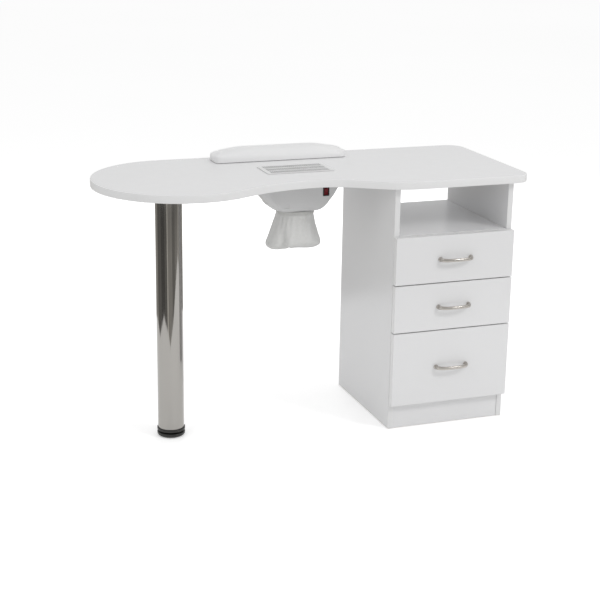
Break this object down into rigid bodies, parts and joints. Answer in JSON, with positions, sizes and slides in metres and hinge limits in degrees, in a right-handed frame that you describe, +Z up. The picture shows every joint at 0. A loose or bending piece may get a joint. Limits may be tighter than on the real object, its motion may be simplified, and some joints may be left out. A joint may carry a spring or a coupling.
{
  "type": "manicure table",
  "caption": "Manicure table with a curved top, a drawer pedestal with an open niche, a tube leg, a built-in dust extractor with a bag, and an armrest.",
  "frame": {"origin": "on the floor at the middle of the footprint, drawer handles included", "axes": "+X along the tabletop from the round end to the pedestal end, +Y from the technician's side to the client's side, +Z up"},
  "size_m": [1.24, 0.5232, 0.786],
  "materials": {
    "melamine": "white melamine-faced chipboard, satin with a fine orange-peel",
    "edging": "white ABS edge band, satin",
    "fibreboard": "white-lacquered thin fibreboard",
    "zinc_steel": "bright zinc plate",
    "satin_nickel": "satin nickel plate",
    "chrome": "polished chrome plate",
    "black_plastic": "black nylon, fine moulded texture",
    "white_plastic": "white ABS, satin moulded",
    "switch_red": "dark red translucent rocker",
    "non_woven": "white non-woven filter cloth",
    "elastic": "white knitted elastic",
    "leatherette": "white vinyl leatherette"
  },
  "bodies": {
    "table": {"tabletop": "melamine", "tabletop_edge_band": "edging", "left_side_panel": "melamine", "right_side_panel": "melamine", "niche_shelf": "melamine", "pedestal_floor": "melamine", "front_plinth": "melamine", "rear_plinth": "melamine", "back_panel": "melamine", "front_left_bracket": "zinc_steel", "rear_left_bracket": "zinc_steel", "front_right_bracket": "zinc_steel", "rear_right_bracket": "zinc_steel", "leg_mounting_plate": "zinc_steel", "leg_tube": "chrome", "leg_bottom_insert": "black_plastic", "extractor_housing": "white_plastic", "outlet_collar": "white_plastic", "fan_motor": "zinc_steel", "cable_gland": "black_plastic", "switch_frame": "black_plastic", "bottom_left_cabinet_runner": "zinc_steel", "bottom_right_cabinet_runner": "zinc_steel", "middle_left_cabinet_runner": "zinc_steel", "middle_right_cabinet_runner": "zinc_steel", "top_left_cabinet_runner": "zinc_steel", "top_right_cabinet_runner": "zinc_steel"},
    "bottom_drawer": {"bottom_drawer_front": "melamine", "bottom_drawer_left_side": "melamine", "bottom_drawer_right_side": "melamine", "bottom_drawer_back": "melamine", "bottom_drawer_bottom": "fibreboard", "bottom_drawer_handle": "satin_nickel", "bottom_left_drawer_runner": "zinc_steel", "bottom_right_drawer_runner": "zinc_steel"},
    "middle_drawer": {"middle_drawer_front": "melamine", "middle_drawer_left_side": "melamine", "middle_drawer_right_side": "melamine", "middle_drawer_back": "melamine", "middle_drawer_bottom": "fibreboard", "middle_drawer_handle": "satin_nickel", "middle_left_drawer_runner": "zinc_steel", "middle_right_drawer_runner": "zinc_steel"},
    "top_drawer": {"top_drawer_front": "melamine", "top_drawer_left_side": "melamine", "top_drawer_right_side": "melamine", "top_drawer_back": "melamine", "top_drawer_bottom": "fibreboard", "top_drawer_handle": "satin_nickel", "top_left_drawer_runner": "zinc_steel", "top_right_drawer_runner": "zinc_steel"},
    "foot_carriage": {"foot_spindle": "zinc_steel"},
    "levelling_foot": {"foot_pad": "black_plastic"},
    "grille": {"extractor_grille": "white_plastic"},
    "fan": {"fan_impeller": "black_plastic"},
    "bag": {"dust_bag": "non_woven", "bag_elastic": "elastic"},
    "rocker": {"switch_rocker": "switch_red"},
    "armrest": {"armrest_base": "fibreboard", "armrest_cushion": "leatherette"}
  },
  "joints": [
    {"name": "bottom_drawer_slide", "type": "slide", "parent": "table", "child": "bottom_drawer", "axis": [0, -1, 0], "range_m": [0, 0.26]},
    {"name": "middle_drawer_slide", "type": "slide", "parent": "table", "child": "middle_drawer", "axis": [0, -1, 0], "range_m": [0, 0.26]},
    {"name": "top_drawer_slide", "type": "slide", "parent": "table", "child": "top_drawer", "axis": [0, -1, 0], "range_m": [0, 0.26]},
    {"name": "foot_extend", "type": "slide", "parent": "table", "child": "foot_carriage", "axis": [0, 0, -1], "range_m": [0, 0.015]},
    {"name": "foot_turn", "type": "hinge", "parent": "foot_carriage", "child": "levelling_foot", "pos_m": [-0.419, -0.05437, 0.0065], "axis": [0, 0, -1], "range_deg": [0, 3600]},
    {"name": "fan_spin", "type": "hinge", "parent": "table", "child": "fan", "pos_m": [-0.016, 0.02363, 0.6775], "axis": [0, 0, 1], "continuous": true},
    {"name": "switch_rock", "type": "hinge", "parent": "table", "child": "rocker", "pos_m": [0.057, -0.03687, 0.6925], "axis": [1, 0, 0], "range_deg": [-16, 0]},
    {"name": "grille_lift", "type": "slide", "parent": "table", "child": "grille", "axis": [0, 0, 1], "range_m": [0, 0.03]},
    {"name": "armrest_lift", "type": "slide", "parent": "table", "child": "armrest", "axis": [0, 0, 1], "range_m": [0, 0.06]},
    {"name": "bag_pull_off", "type": "slide", "parent": "table", "child": "bag", "axis": [0, 0, -1], "range_m": [0, 0.03]}
  ],
  "couplings": [
    {"joint": "foot_extend", "follows": "foot_turn", "m_per_rad": 0.00023873}
  ]
}
